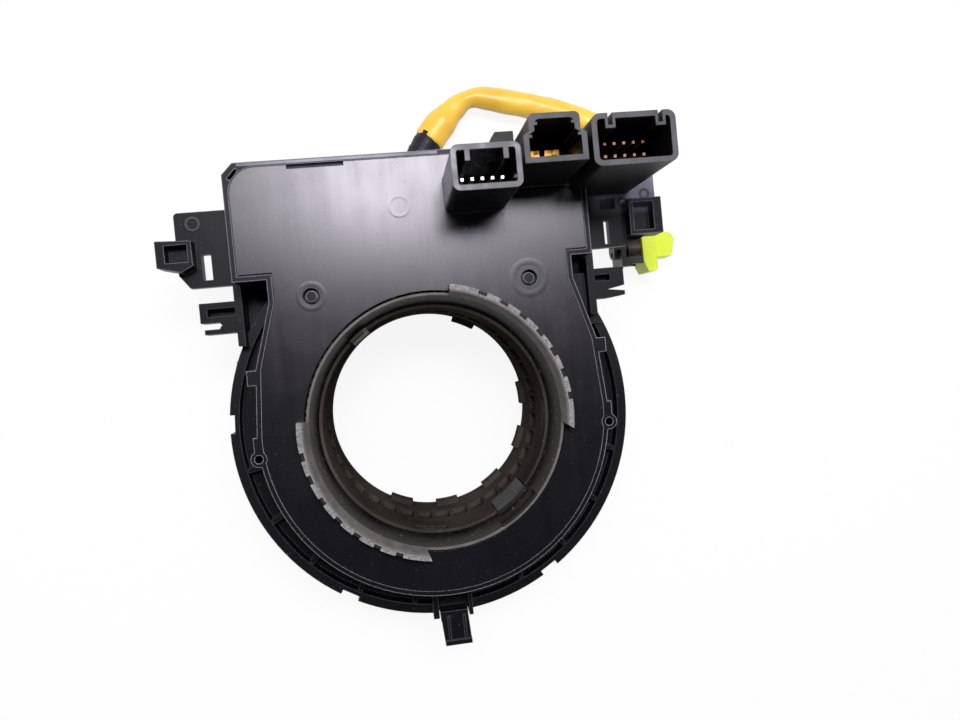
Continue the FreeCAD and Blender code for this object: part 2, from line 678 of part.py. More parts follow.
def connector_block():
    """Airbag and switch sockets and the base that they share."""
    base = plate("block_base", [
        ("airbag_left", "step_low"), ("block_right", "step_low"), ("block_right", "switch_low + switch_deep"),
        ("airbag_left", "switch_low + switch_deep"),
    ], "ear_top", "socket_floor - ear_top - 3")
    tab = plate("block_tab", [
        ("airbag_left + 2", "box_top + fit_gap"), ("airbag_left + 2", "box_top + 2.8"),
        ("airbag_left - 2.4", "box_top + 2.8"), ("airbag_left - 3.4", "box_top + 1.4"),
        ("airbag_left - 3.4", "box_top + fit_gap"),
    ], "ear_top + 1", "10")
    tab_root = box("block_tab_root", "airbag_left", "box_top - 2", "ear_top + 1", "2", "4", "8")
    airbag = plate("airbag_shroud", airbag_path("0"), "ear_top", "stator_top - ear_top")
    airbag_room = plate("airbag_room", airbag_path("socket_wall"), "socket_floor - 4", "stator_top")
    wide = "block_right - switch_left"
    switch = round_box("switch_shroud", "switch_left", "switch_low", wide, "switch_deep",
                       "1.8", "ear_top", "stator_top - ear_top")
    switch_room = round_box("switch_room", "switch_left + socket_wall", "switch_low + socket_wall",
                            wide + " - 2 * socket_wall", "switch_deep - 2 * socket_wall", "0.7",
                            "socket_floor - 1.5", "stator_top")
    over_case = box("block_over_case", "switch_left - 1", "step_low - 3", "ear_top - 1",
                    "box_right + fit_gap - switch_left + 1", "3", "cover_top + 0.4 - ear_top + 1")
    web = box("socket_web", "airbag_left + airbag_wide - 0.4", "switch_low + 7.4", "ear_top",
              "switch_left - airbag_left - airbag_wide + 0.8", "1", "stator_top - ear_top - 7")
    keys, channels = [], []
    for count, shift in enumerate(("3.0", "14.0"), 1):
        x = "switch_left + %s" % shift
        top = "switch_low + switch_deep"
        keys.append(box("switch_key_%d" % count, x, top + " - 3.2", "socket_floor - 2", "2.2", "3.2",
                        "stator_top - socket_floor + 2"))
        channels.append(box("switch_channel_%d" % count, x + " + 0.6", top + " - 2.5", "socket_floor",
                            "1", "3", "stator_top"))
    guides = [box("airbag_guide_%d" % count, x, "step_low + " + up, "socket_floor - 4.5", "0.9", "0.6",
                  "stator_top - socket_floor + 4.5")
              for count, (x, up) in enumerate((("airbag_left + socket_wall - 0.2", "5.2"),
                                               ("airbag_left + airbag_wide - socket_wall - 0.7", "5.2"),
                                               ("airbag_left + socket_wall + 1.1", "7.8"),
                                               ("airbag_left + airbag_wide - socket_wall - 2", "7.8")), 1)]
    shell = cut("block_rooms", fuse("block_solids", base, tab, tab_root, airbag, switch, web),
                airbag_room, switch_room, over_case)
    inner = fuse("block_inner", shell, *(keys + guides))
    holes = [box("block_hole_%d" % count, x, y, "ear_top - 1", "pin_size", "pin_size",
                 "socket_floor - ear_top") for count, (x, y) in enumerate(AIRBAG_PINS + SWITCH_PINS)]
    return node(cut("connector_block", inner, *(channels + holes)), "connector_block")


def airbag_pins():
    return pins("airbag_pins", "ear_top + 2", "pin_top - 4", AIRBAG_PINS)


def switch_pins():
    return pins("switch_pins", "ear_top + 2", "pin_top - 2", SWITCH_PINS)


def shorting_springs():
    """Leaf springs that short the airbag terminals while the plug is out."""
    leaves = []
    for count, shift in enumerate(("2.8", "7.4"), 1):
        x = "airbag_left + %s" % shift
        low = "socket_floor - 4"
        leaves.append(box("leaf_foot_%d" % count, x, "step_low + 5.6", low, "leaf_wide", "1.6", "0.4"))
        leaves.append(box("leaf_rise_%d" % count, x, "step_low + 5.6", low, "leaf_wide", "0.4", "10"))
        leaves.append(box("leaf_lip_%d" % count, x, "step_low + 4.2", low + " + 9.6",
                          "leaf_wide", "1.8", "0.4"))
    return node(fuse("shorting_springs", *leaves), "shorting_springs")


# Steering angle sensor

def flank_point(base, radius, lean):
    """Point of an involute at a radius, turned by lean."""
    roll = math.sqrt(max((radius / base) ** 2 - 1, 0))
    angle = roll - math.atan(roll) + lean
    return FreeCAD.Vector(radius * math.cos(angle), radius * math.sin(angle), 0)


def toothed_disc(teeth, module, high):
    """Spur gear blank, one tooth centred on +X. Each flank is a chord of its involute."""
    pitch = teeth * module / 2
    base = pitch * math.cos(math.radians(20))
    tip, root = pitch + 0.8 * module, pitch - module
    roll = math.sqrt((pitch / base) ** 2 - 1)
    half = math.pi / (2 * teeth) - 0.06 * module / pitch
    lean = -half - (roll - math.atan(roll))
    lower = [flank_point(base, radius, lean) for radius in (max(base, root), tip)]
    if root < base:
        lower.insert(0, FreeCAD.Vector(root * math.cos(lean), root * math.sin(lean), 0))
    tooth = lower + [FreeCAD.Vector(point.x, -point.y, 0) for point in reversed(lower)]
    corners = []
    for count in range(teeth):
        turn = FreeCAD.Rotation(Z_AXIS, 360.0 * count / teeth)
        corners += [turn.multVec(point) for point in tooth]
    outline = Part.makePolygon(corners + corners[:1])
    return Part.Face(outline).extrude(FreeCAD.Vector(0, 0, high))


def ring_gear():
    """Ring gear on the rotor sleeve that drives both measuring gears."""
    high = num("gear_high")
    blank = toothed_disc(int(num("ring_teeth")), num("gear_module"), high)
    bore = Part.makeCylinder(num("gear_seat_rad + snug_gap"), high + 2, FreeCAD.Vector(0, 0, -1))
    obj = solid("ring_gear", blank.cut(bore))
    return node(place(obj, ("0", "0", "gear_seat_low")), "ring_gear")


def measuring_gear(name, teeth_name, angle_name):
    """Small gear with a cup for its magnet, meshed with the ring gear."""
    teeth, ring = int(num(teeth_name)), int(num("ring_teeth"))
    angle, high = num(angle_name), num("gear_high")
    blank = toothed_disc(teeth, num("gear_module"), high)
    cup = Part.makeCylinder(num("magnet_rad + cup_wall"), num("cup_high"), FreeCAD.Vector(0, 0, high))
    seat = Part.makeCylinder(num("magnet_rad + snug_gap"), num("magnet_high"), FreeCAD.Vector(0, 0, high))
    bore = Part.makeCylinder(num("axle_rad + run_gap"), high - num("axle_roof") + 1, FreeCAD.Vector(0, 0, -1))
    past = angle * ring / 360.0
    turn = angle + 180 + 180.0 / teeth + (past - math.floor(past)) * 360.0 / teeth
    shape = blank.fuse(cup).cut(seat).cut(bore).removeSplitter()
    obj = solid(name, shape)
    x, y = gear_place(teeth_name, angle_name)
    return node(place(obj, (x, y, "gear_seat_low"), "%.6f" % turn), name)


def magnet(name, teeth_name, angle_name):
    x, y = gear_place(teeth_name, angle_name)
    return node(drum(name, "magnet_rad", "gear_seat_low + gear_high", "magnet_high", x, y), name)


def circuit_board():
    """Board over the measuring gears, cut out round the rotor."""
    shape = {"e": "(wall + ledge + 0.8)", "near": "post_up + post_rad + 1.5", "top": "(box_top - 0.6)"}
    path = [
        ("-box_left + {e}", "39.6"), ("-31", "39.6"), ("-31", "{near}"), ("31", "{near}"), ("31", "39.6"),
        ("box_right - {e}", "39.6"), ("box_right - {e}", "step_low - {e}"),
        ("step_left - {e}", "step_low - {e}"), ("step_left - {e}", "{top} - {e}"),
        ("-box_left + {e} + 5", "{top} - {e}"), ("-box_left + {e}", "{top} - {e} - 5"),
    ]
    outline = [tuple(text.format(**shape) for text in item) for item in path]
    panel = plate("board_panel", outline, "board_low", "board_thick")
    round_cut = drum("board_round", "cam_rad + 3.4", "board_low - 1", "board_thick + 2")
    holes = [box("board_hole_%d" % count, sensor_pin_x(count), SENSOR_PIN_Y, "board_low - 1",
                 "pin_size", "pin_size", "board_thick + 2") for count in range(5)]
    return node(cut("circuit_board", panel, round_cut, *holes), "circuit_board")


def hall_sensors():
    """One sensor chip under the board above each magnet."""
    chips = []
    for count, names in enumerate((("first_teeth", "first_place"), ("second_teeth", "second_place")), 1):
        x, y = gear_place(*names)
        chips.append(box("hall_%d" % count, x + " - 2.5", y + " - 2", "board_low - chip_high",
                         "5", "4", "chip_high"))
    return node(fuse("hall_sensors", *chips), "hall_sensors")


def processor():
    chip = box("processor", "-12", "48", "board_low + board_thick", "7", "7", "chip_high + 0.3")
    return node(chip, "processor")


# Rotor

def rotor_front():
    """Connector tower, lead outlet, drive pins and ribs on the front of the disc."""
    reach = "disc_low + 0.4"
    tower = round_box("tower", "-tower_wide / 2", "tower_near", "tower_wide", "tower_deep", "1", "0", reach)
    outlet = box("outlet", "-outlet_wide / 2", "tower_near + tower_deep - 0.6", "0",
                 "outlet_wide", "outlet_out + 0.6", reach)
    drives = [drum("drive_pin_%d" % angle, "drive_pin_rad", "0", reach,
                   "drive_pin_place * cos(%d)" % angle, "drive_pin_place * sin(%d)" % angle)
              for angle in (210, 330)]
    ribs = [box("disc_rib_%d" % angle, "(hub_rad - 1) * cos(%d)" % angle,
                "(hub_rad - 1) * sin(%d)" % angle, "disc_low - 3",
                "rim_rad - rim_wall - clear_gap - hub_rad", "well_rib", "3.4", turn=str(angle))
            for angle in range(140, 401, 20)]
    lip = tube("disc_lip", "rim_rad - rim_wall - clear_gap", "rim_rad - rim_wall - clear_gap - 1.2",
               "disc_low - 2", "2.4")
    return [tower, outlet, lip] + drives + ribs


def rotor_cells():
    """Row of shallow cells round the bore."""
    return [box("cell_%d" % angle, "(bore_rad - 1) * cos({0}) + cell_wide / 2 * sin({0})".format(angle),
                "(bore_rad - 1) * sin({0}) - cell_wide / 2 * cos({0})".format(angle),
                "cell_low", "cell_deep + 1", "cell_wide", "cell_high", turn=str(angle))
            for angle in range(0, 360, 10)]


TOWER_PINS = [("%d * pin_pitch - pin_size / 2" % count, "tower_near + %s" % up)
              for up in ("3.4", "6.6") for count in range(-4, 5)]
SNAPS = ("-3.5", "-97.5")


def snap(name, angle, inner, wide, low, high, deep):
    """Block through the wall of the neck at an angle."""
    x = "({1}) * cos({0}) + ({2}) / 2 * sin({0})".format(angle, inner, wide)
    y = "({1}) * sin({0}) - ({2}) / 2 * cos({0})".format(angle, inner, wide)
    return box(name, x, y, low, deep, wide, high, turn=angle)


def rotor():
    top = "gear_seat_low + gear_high + neck_high"
    body = spun("rotor_body", [
        ("hub_seat_rad", "0"), ("hub_rad", "0"), ("hub_rad", "disc_low"),
        ("rim_rad - rim_wall - clear_gap", "disc_low"),
        ("rim_rad - rim_wall - clear_gap", "disc_low + disc_thick"),
        ("sleeve_rad", "disc_low + disc_thick"), ("sleeve_rad", "gear_seat_low"),
        ("gear_seat_rad", "gear_seat_low"), ("gear_seat_rad", "gear_seat_low + gear_high"),
        ("neck_rad", "gear_seat_low + gear_high"), ("neck_rad", top), ("bore_rad", top),
        ("bore_rad", "tooth_low"), ("hub_seat_rad", "tooth_low"),
    ])
    teeth = [sector("bore_tooth_%d" % count, "bore_rad + 0.5", "tooth_rad", "tooth_low", "tooth_high",
                    "%s - tooth_span / 2" % centre, "tooth_span")
             for count, centre in enumerate((5, 64, -23, -54, -85, -113), 1)]
    hook = sector("neck_hook", "neck_rad", "bore_rad", top + " - 0.5", "2.5", "124", "8")
    room = round_box("tower_room", "-tower_wide / 2 + tower_wall", "tower_near + tower_wall",
                     "tower_wide - 2 * tower_wall", "tower_deep - 2 * tower_wall", "0.5", "-1",
                     "disc_low - 2.4")
    windows = [snap("snap_window_%d" % count, angle, "bore_rad - 1", "8", "gear_seat_low + gear_high + 0.8",
                    "3.2", "neck_rad - bore_rad + 2") for count, angle in enumerate(SNAPS, 1)]
    holes = [box("tower_hole_%d" % count, x, y, "disc_low - 4", "pin_size", "pin_size", "5")
             for count, (x, y) in enumerate(TOWER_PINS)]
    slot = sector("tab_slot", "neck_rad + 0.4", "bore_rad - 1", "gear_seat_low - tab_drop - fit_gap",
                  "gear_high + neck_high + tab_drop + 1", "tab_start - 0.6", "tab_span + 1.2")
    solids = fuse("rotor_solids", body, hook, *(teeth + rotor_front()))
    return node(cut("rotor", solids, room, slot, *(windows + holes + rotor_cells())), "rotor")


def rotor_pins():
    return pins("rotor_pins", "tower_pin_low", "disc_low + 1", TOWER_PINS)


CAM_BLOCKS = (
    (67.3, 79.8), (57.1, 63.4), (47.3, 53.4), (37.4, 43.7),
    (27.6, 33.9), (17.5, 23.5), (7.0, 13.7), (-8.5, 3.9),
    (249.9, 262.1), (240.0, 246.7), (230.3, 236.9), (220.6, 227.0),
    (210.2, 217.1), (200.2, 206.8), (190.2, 196.5), (174.2, 186.7),
)
LOBE_TIPS = ("-8.5", "262.1")


def tail_cut(name, tip, side):
    """Wedge that gives a lobe's end its slant, from the outer tip at an angle."""
    way = "(%s + %d * tail_lean)" % (tip, side)
    across = "0" if side > 0 else "-8"
    return box(name, "lobe_rad * cos({0}) - 6 * cos({1}) - ({2}) * sin({1})".format(tip, way, across),
               "lobe_rad * sin({0}) - 6 * sin({1}) + ({2}) * cos({1})".format(tip, way, across),
               "lobe_low - 1", "8", "8", "lobe_top - lobe_low + 2", turn=way)


def cancel_cam():
    """Dished ring over the neck, with two lobes of blocks over the rear cover."""
    low = "gear_seat_low + gear_high"
    ring = spun("cam_ring", [
        ("neck_rad + fit_gap", low), ("cam_rad", low), ("cam_rad", "cover_top + 1.6"),
        ("dish_rad + 1.2", "cover_top + 1.6"), ("dish_rad", "cover_top - 5"),
        ("neck_rad + fit_gap", "cover_top - 5.6"),
    ])
    lips = [spun("lobe_lip_%d" % count, [
        ("dish_rad + 1.2", "lobe_low"), ("lobe_rad - 1", "lobe_low"), ("lobe_rad - 1", "lobe_top"),
        ("lobe_rad - 1.7", "lobe_top"), ("dish_rad + 1.2", "cover_top + 1.6"),
    ], "lobe_span", start) for count, start in enumerate(("lobe_start", "lobe_start + 182.7"), 1)]
    blocks = [sector("cam_block_%d" % count, "lobe_rad", "lobe_rad - 1.2", "lobe_low",
                     "lobe_top - lobe_low - 0.3", str(start), str(end - start))
              for count, (start, end) in enumerate(CAM_BLOCKS, 1)]
    tails = [tail_cut("lobe_tail_1", LOBE_TIPS[0], -1), tail_cut("lobe_tail_2", LOBE_TIPS[1], 1)]
    lobes = cut("cam_lobes", fuse("lobe_solids", *(lips + blocks)), *tails)
    noses = [snap("cam_nose_%d" % count, angle, "bore_rad + 0.3", "7.6", low + " + 1", "2.8", "1.6")
             for count, angle in enumerate(SNAPS, 1)]
    tab = sector("cam_tab", "neck_rad + 0.3", "bore_rad + run_gap", "gear_seat_low - tab_drop",
                 "gear_high + neck_high + tab_drop + 1.6", "tab_start", "tab_span")
    recess = sector("cam_recess", "cam_rad - 0.5", "bore_rad", "cover_top - 3.4", "8", "-64", "22")
    return node(cut("cancel_cam", fuse("cam_solids", ring, lobes, tab, *noses), recess), "cancel_cam")


# Flat cable and its ends

def half_arc(centre, radius, way):
    """Half circle about a centre, from the side way points to."""
    across = Z_AXIS.cross(way)
    return Part.Arc(centre + way * radius, centre + across * radius, centre - way * radius)


def flat_cable():
    """Loose spiral of half circles between the two lead blocks."""
    lead = math.radians(num("lead_angle"))
    way = FreeCAD.Vector(math.cos(lead), math.sin(lead), 0)
    step, half = num("cable_pitch") / 2, num("cable_thick") / 2
    sides = {1: [], -1: []}
    for count in range(int(2 * num("cable_turns"))):
        centre = way * (step if count % 2 else 0)
        heading = way * (-1 if count % 2 else 1)
        radius = num("cable_start") + step * count
        for side in sides:
            sides[side].append(half_arc(centre, radius + side * half, heading).toShape())
    first = num("cable_start")
    last = first + num("cable_pitch") * num("cable_turns")
    ends = [Part.LineSegment(way * (reach - half), way * (reach + half)).toShape() for reach in (first, last)]
    wire = Part.Wire(Part.sortEdges(sides[1] + sides[-1] + ends)[0])
    shape = Part.Face(wire).extrude(Z_AXIS * num("cable_high"))
    return node(place(solid("flat_cable", shape), ("0", "0", "cable_low")), "flat_cable")


def inner_lead_block():
    """End of the flat cable on the rotor sleeve."""
    low = "disc_low + disc_thick + sheet_thick + 0.1"
    end = sector("inner_lead_block", "cable_start + 1", "sleeve_rad + snug_gap", low,
                 "cable_low + cable_high + 0.2 - (%s)" % low, "lead_angle - 18", "18")
    return node(end, "inner_lead_block")


def outer_lead_block():
    """End of the flat cable at the rim, with its carrier on the case floor."""
    end = sector("outer_lead_end", "rim_rad - rim_wall - 0.1", "cable_start + cable_pitch * cable_turns - 1",
                 "cable_low - 0.2", "gear_seat_low - 0.8 - cable_low + 0.2", "lead_angle", "12")
    carrier = box("outer_lead_carrier", "-10", "rim_rad - rim_wall - 3", "floor_low + floor_thick", "10", "9",
                  "gear_seat_low - 0.8 - floor_low - floor_thick")
    return node(fuse("outer_lead_block", end, carrier), "outer_lead_block")


def slide_sheet():
    return node(tube("slide_sheet", "rim_rad - rim_wall - clear_gap - 0.5", "sleeve_rad + fit_gap",
                     "disc_low + disc_thick", "sheet_thick"), "slide_sheet")


# Airbag lead: corners of its route from the outlet to the plug, as ways past the
# outlet's mouth and above the lead's start

OUTLET = "(tower_near + tower_deep + outlet_out)"
ROUTE = (
    ("0", "0", "0"), ("0", "7.5", "0"), ("0.9", "16.5", "0"), ("5.2", "27.7", "0"), ("14.3", "36.8", "0"),
    ("21.4", "40.0", "0.1"), ("29.2", "40.6", "0.3"), ("40.8", "37.5", "0.7"), ("53.4", "33.0", "1.2"),
    ("60.5", "26.6", "1.6"), ("64.4", "18.2", "1.9"), ("plug_out", "9.0", "plug_rise"),
    ("plug_out", "-plug_drop", "plug_rise"),
)
ROOT_CORNERS = 4


def lead_edges():
    """Straight and round edges of the route. The run after the root is halved."""
    points = [FreeCAD.Vector(num(x), num(OUTLET + " + " + y), num("cord_lift + " + z)) for x, y, z in ROUTE]
    edges, at, root_edges = [], points[0], 0
    for index in range(1, len(points) - 1):
        back, ahead = points[index - 1] - points[index], points[index + 1] - points[index]
        if index == ROOT_CORNERS:
            middle = (points[index - 1] + points[index]) * 0.5
            edges.append(Part.LineSegment(at, middle).toShape())
            at, root_edges = middle, len(edges)
        turn = math.pi - back.getAngle(ahead)
        reach = 0.45 * min(back.Length, ahead.Length)
        radius = reach / math.tan(turn / 2)
        print("lead bend", index, round(radius, 1), "mm")
        back.normalize()
        ahead.normalize()
        start, end = points[index] + back * reach, points[index] + ahead * reach
        inward = (back + ahead).normalize()
        middle = points[index] + inward * (radius / math.cos(turn / 2) - radius)
        edges.append(Part.LineSegment(at, start).toShape())
        edges.append(Part.Arc(start, middle, end).toShape())
        at = end
    edges.append(Part.LineSegment(at, points[-1]).toShape())
    return edges[:root_edges], edges[root_edges:]


def swept(name, edges, radius):
    wire = Part.Wire(edges)
    start = edges[0].Vertexes[0].Point
    heading = edges[0].Vertexes[1].Point - start
    ring = Part.Wire(Part.Circle(start, heading, radius).toShape())
    shape = wire.makePipeShell([ring], True, True)
    length = sum(edge.Length for edge in edges)
    section = math.pi * radius ** 2
    print(name, "length", round(length, 1), "volume", round(shape.Volume), round(section * length))
    return node(solid(name, shape), name)


def lead():
    root, rest = lead_edges()
    swept("lead_root", root, num("root_rad"))
    swept("lead_sleeve", rest, num("cord_rad"))


# Airbag plug on the end of the lead, which enters it at a right angle

PLUG_Y = "(%s - plug_drop)" % OUTLET
PLUG_Z = "(cord_lift + plug_rise)"
BAR_LEFT = "(plug_out - bar_wide / 2)"
BARREL_Y = "(%s - barrel_down)" % PLUG_Y


def squib_housing():
    """Bar across the nose, the entry of the lead and the head behind the bar."""
    shape = {"left": BAR_LEFT, "right": "(plug_out + bar_wide / 2)", "top": PLUG_Y,
             "end": "(%s - bar_long)" % PLUG_Y}
    path = [
        ("{left}", "{top}"), ("{left}", "{end} + 3"), ("{left} + 1.3", "{end}"),
        ("{right} - 1", "{end}", "1"), ("{right}", "{end} + 1"), ("{right}", "{top}"),
    ]
    bar = plate("plug_bar", [tuple(text.format(**shape) for text in item) for item in path],
                PLUG_Z + " - plug_half", "2 * plug_half")
    entry = box("plug_entry", "plug_out - entry_half", PLUG_Y + " - entry_long", PLUG_Z + " - entry_half",
                "2 * entry_half", "entry_long", "2 * entry_half")
    head = plate("plug_head", [
        ("plug_out", PLUG_Y + " - 1.2"), ("plug_out", PLUG_Y + " - 8.8"),
        ("plug_out + bar_wide / 2 + head_long - 1.2", PLUG_Y + " - 8.8"),
        ("plug_out + bar_wide / 2 + head_long", PLUG_Y + " - 4"),
        ("plug_out + bar_wide / 2 + head_long - 0.8", PLUG_Y + " - 2.2"),
        ("plug_out + bar_wide / 2 + 1.4", PLUG_Y + " - 1.2"),
    ], PLUG_Z + " - entry_half + 0.6", "2 * entry_half - 0.8")
    return node(fuse("squib_housing", bar, entry, head), "squib_housing")


def lying_drum(name, rad, left, y, long):
    """Round piece along X, level with the plug."""
    obj = drum(name, rad, PLUG_Z, long, left, y)
    obj.Placement.Rotation = FreeCAD.Rotation(FreeCAD.Vector(0, 1, 0), 90)
    return obj


def squib_barrel():
    """Round shield between the bar and the nose, with its key groove."""
    left = "(%s - barrel_long)" % BAR_LEFT
    shield = lying_drum("barrel_shield", "barrel_rad", left, BARREL_Y, "barrel_long")
    groove = box("barrel_groove", left + " - 1", BARREL_Y + " + barrel_rad - 0.7", PLUG_Z + " - 0.8",
                 "barrel_long + 2", "2", "1.6")
    return node(cut("squib_barrel", shield, groove), "squib_barrel")


def squib_lock():
    """Nose that enters the inflator, with two contact bores, and the lock's arms
    and knobs beside it."""
    tip = "(%s - barrel_long - nose_long)" % BAR_LEFT
    side = BARREL_Y + " - barrel_rad"
    nose = lying_drum("lock_nose", "nose_rad", tip, BARREL_Y, "nose_long")
    collar = box("lock_collar", tip + " + 1.4", side + " - 1", PLUG_Z + " - plug_half", "1.4",
                 "barrel_rad + 1", "2 * plug_half")
    arms = [box("lock_arm_%d" % count, tip + " + 1.4", side + " - 1", low, "barrel_long + nose_long - 1.4",
                "2.1", "1.6")
            for count, low in enumerate((PLUG_Z + " + 3", PLUG_Z + " - plug_half"), 1)]
    knobs = [box("lock_knob_%d" % count, tip + " + 1.4", side + " - 1.6", low, "2.6", "2.4", "1.8")
             for count, low in enumerate((PLUG_Z + " + 3.2", PLUG_Z + " - plug_half"), 1)]
    bores = [lying_drum("contact_bore_%d" % count, "0.8", tip + " - 0.5", BARREL_Y + " + %d * 1.3" % way,
                        "nose_long - 0.5") for count, way in enumerate((1, -1), 1)]
    return node(cut("squib_lock", fuse("lock_solids", nose, collar, *(arms + knobs)), *bores), "squib_lock")


def build_all():
    stator_case()
    rear_cover()
    sensor_pins()
    connector_block()
    airbag_pins()
    switch_pins()
    shorting_springs()
    ring_gear()
    measuring_gear("first_gear", "first_teeth", "first_place")
    measuring_gear("second_gear", "second_teeth", "second_place")
    magnet("first_magnet", "first_teeth", "first_place")
    magnet("second_magnet", "second_teeth", "second_place")
    circuit_board()
    hall_sensors()
    processor()
    rotor()
    rotor_pins()
    cancel_cam()
    flat_cable()
    inner_lead_block()
    outer_lead_block()
    slide_sheet()
    lead()
    squib_housing()
    squib_barrel()
    squib_lock()


build_all()
doc.recompute()


def write_nodes():
    for obj in doc.Objects:
        if "Invalid" in obj.State or "Error" in obj.State:
            raise RuntimeError("%s failed: %s" % (obj.Label, obj.State))
    for obj in nodes:
        if obj.Shape.isNull() or not obj.Shape.isValid():
            raise RuntimeError("%s has no valid shape" % obj.Label)
    os.makedirs("parts", exist_ok=True)
    for obj in nodes:
        obj.Shape.exportStep("parts/%s.step" % obj.Label)
        print(obj.Label, len(obj.Shape.Solids), round(obj.Shape.Volume))


write_nodes()
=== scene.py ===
"""Looks, lead, stage, light and camera of the steering clock spring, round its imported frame."""

import math

import bpy
from mathutils import Matrix, Vector, noise


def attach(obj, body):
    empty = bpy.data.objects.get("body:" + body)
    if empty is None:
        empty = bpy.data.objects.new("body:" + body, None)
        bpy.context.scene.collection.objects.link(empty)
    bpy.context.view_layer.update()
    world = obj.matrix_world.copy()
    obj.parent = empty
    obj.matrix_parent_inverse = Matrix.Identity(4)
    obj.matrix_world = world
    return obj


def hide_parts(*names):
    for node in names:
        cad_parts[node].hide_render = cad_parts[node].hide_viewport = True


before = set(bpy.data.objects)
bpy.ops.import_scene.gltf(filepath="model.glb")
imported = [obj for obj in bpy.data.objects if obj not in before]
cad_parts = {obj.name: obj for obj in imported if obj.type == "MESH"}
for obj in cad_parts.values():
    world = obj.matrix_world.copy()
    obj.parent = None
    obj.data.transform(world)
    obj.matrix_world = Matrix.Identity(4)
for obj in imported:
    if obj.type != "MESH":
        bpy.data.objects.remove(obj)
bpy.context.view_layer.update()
MM = 0.001


# Nodes

BEVEL_SAMPLES = 4
SPECK_SPAN = (0.70, 0.76)                   # values of the noise over which a speck of dust fades in
EDGE_HIGHLIGHT_RADIUS = 0.32 * MM                     # reach of the painted highlights along edges
EDGE_HIGHLIGHT_SPAN = (0.985, 0.93)                   # leans of the rounded normal between which a painted edge highlight fades in
RING_CORE = 0.3                             # share of a ring mark's width that is at full strength
BLOTCH = (130.0, 0.45, 1.0, 0.3, 0.6)       # the mottle of an uneven patch


def node(tree, kind, **settings):
    """A new node. Each setting goes to the input of that name, or else to the node."""
    item = tree.nodes.new(kind)
    for key, value in settings.items():
        if key in item.inputs:
            item.inputs[key].default_value = value
        else:
            setattr(item, key, value)
    return item


def ramp(tree, source, *stops):
    """Colours over the source, from two stops of a place and a colour."""
    item = tree.nodes.new("ShaderNodeValToRGB")
    tree.links.new(source, item.inputs["Fac"])
    for stop, (place, color) in zip(item.color_ramp.elements, stops):
        stop.position = place
        stop.color = (*color, 1)
    return item.outputs["Color"]


def spread(tree, source, low, high, first=0.0, last=1.0):
    """The source's span from first to last, mapped to low..high."""
    item = node(tree, "ShaderNodeMapRange")
    for key, value in zip(("From Min", "From Max", "To Min", "To Max"), (first, last, low, high)):
        item.inputs[key].default_value = value
    tree.links.new(source, item.inputs["Value"])
    return item.outputs["Result"]


def rise(tree, length, first, last, low=0.0, high=1.0):
    """A length's span from first to last in millimetres, mapped to low..high."""
    return spread(tree, length, low, high, first * MM, last * MM)


def combine(tree, kind, first, second):
    """One value from two, each of them a socket or a float."""
    item = node(tree, "ShaderNodeMath", operation=kind)
    for socket, value in zip(item.inputs, (first, second)):
        if isinstance(value, float):
            socket.default_value = value
        else:
            tree.links.new(value, socket)
    return item.outputs["Value"]


def tint(tree, below, mask, color):
    """A colour over another where the mask is 1."""
    item = node(tree, "ShaderNodeMix", data_type="RGBA")
    tree.links.new(mask, item.inputs["Factor"])
    tree.links.new(below, item.inputs["A"])
    if isinstance(color, tuple):
        item.inputs["B"].default_value = (*color, 1)
    else:
        tree.links.new(color, item.inputs["B"])
    return item.outputs["Result"]


def start(name, **sockets):
    """A new material with its tree, its shader and the object coordinates."""
    mat = bpy.data.materials.new(name)
    mat.use_nodes = True
    tree = mat.node_tree
    bsdf = tree.nodes["Principled BSDF"]
    for key, value in sockets.items():
        bsdf.inputs[key.replace("_", " ")].default_value = value
    where = node(tree, "ShaderNodeTexCoord").outputs["Object"]
    return mat, tree, bsdf, where


def grain(tree, where, scale, detail=3.0, stretch=None):
    """Noise of a scale in waves per metre."""
    item = node(tree, "ShaderNodeTexNoise", Scale=scale, Detail=detail)
    if stretch:
        mapping = node(tree, "ShaderNodeMapping")
        mapping.inputs["Scale"].default_value = stretch
        tree.links.new(where, mapping.inputs["Vector"])
        where = mapping.outputs["Vector"]
    tree.links.new(where, item.inputs["Vector"])
    return item.outputs["Fac"]


def mottle(tree, where, scale, low, high, first=0.0, last=1.0):
    """Noise of a scale, its span from first to last mapped to low..high."""
    return spread(tree, grain(tree, where, scale), low, high, first, last)


def specks(tree, where, scale, strength):
    """Mask of fine specks of dust."""
    return spread(tree, grain(tree, where, scale, 1.0), 0.0, strength, *SPECK_SPAN)


def drift(tree, source, places, color, darker, lighter):
    """A colour that drifts between its darker and its lighter share with the source."""
    dark = [channel * darker for channel in color]
    light = [min(channel * lighter, 1) for channel in color]
    return ramp(tree, source, *zip(places, (dark, light)))


def axes(tree, where):
    """The X, Y and Z of a place."""
    split = node(tree, "ShaderNodeSeparateXYZ")
    tree.links.new(where, split.inputs["Vector"])
    return split.outputs


def height_of(tree, where):
    return axes(tree, where)["Z"]


def away(tree, where, x=0.0, y=0.0):
    """Distance in plan from the upright line through x, y in millimetres."""
    flat = node(tree, "ShaderNodeVectorMath", operation="MULTIPLY")
    flat.inputs[1].default_value = (1, 1, 0)
    tree.links.new(where, flat.inputs[0])
    reach = node(tree, "ShaderNodeVectorMath", operation="DISTANCE")
    reach.inputs[1].default_value = (x * MM, y * MM, 0)
    tree.links.new(flat.outputs["Vector"], reach.inputs[0])
    return reach.outputs["Value"]


def rings(tree, where, marks):
    """Mask of moulded rings, each given by its centre, radius and line width."""
    total = None
    for x, y, radius, width in marks:
        off = combine(tree, "SUBTRACT", away(tree, where, x, y), radius * MM)
        ring = rise(tree, combine(tree, "ABSOLUTE", off, 0.0), RING_CORE * width, width, 1.0, 0.0)
        total = ring if total is None else combine(tree, "MAXIMUM", total, ring)
    return total


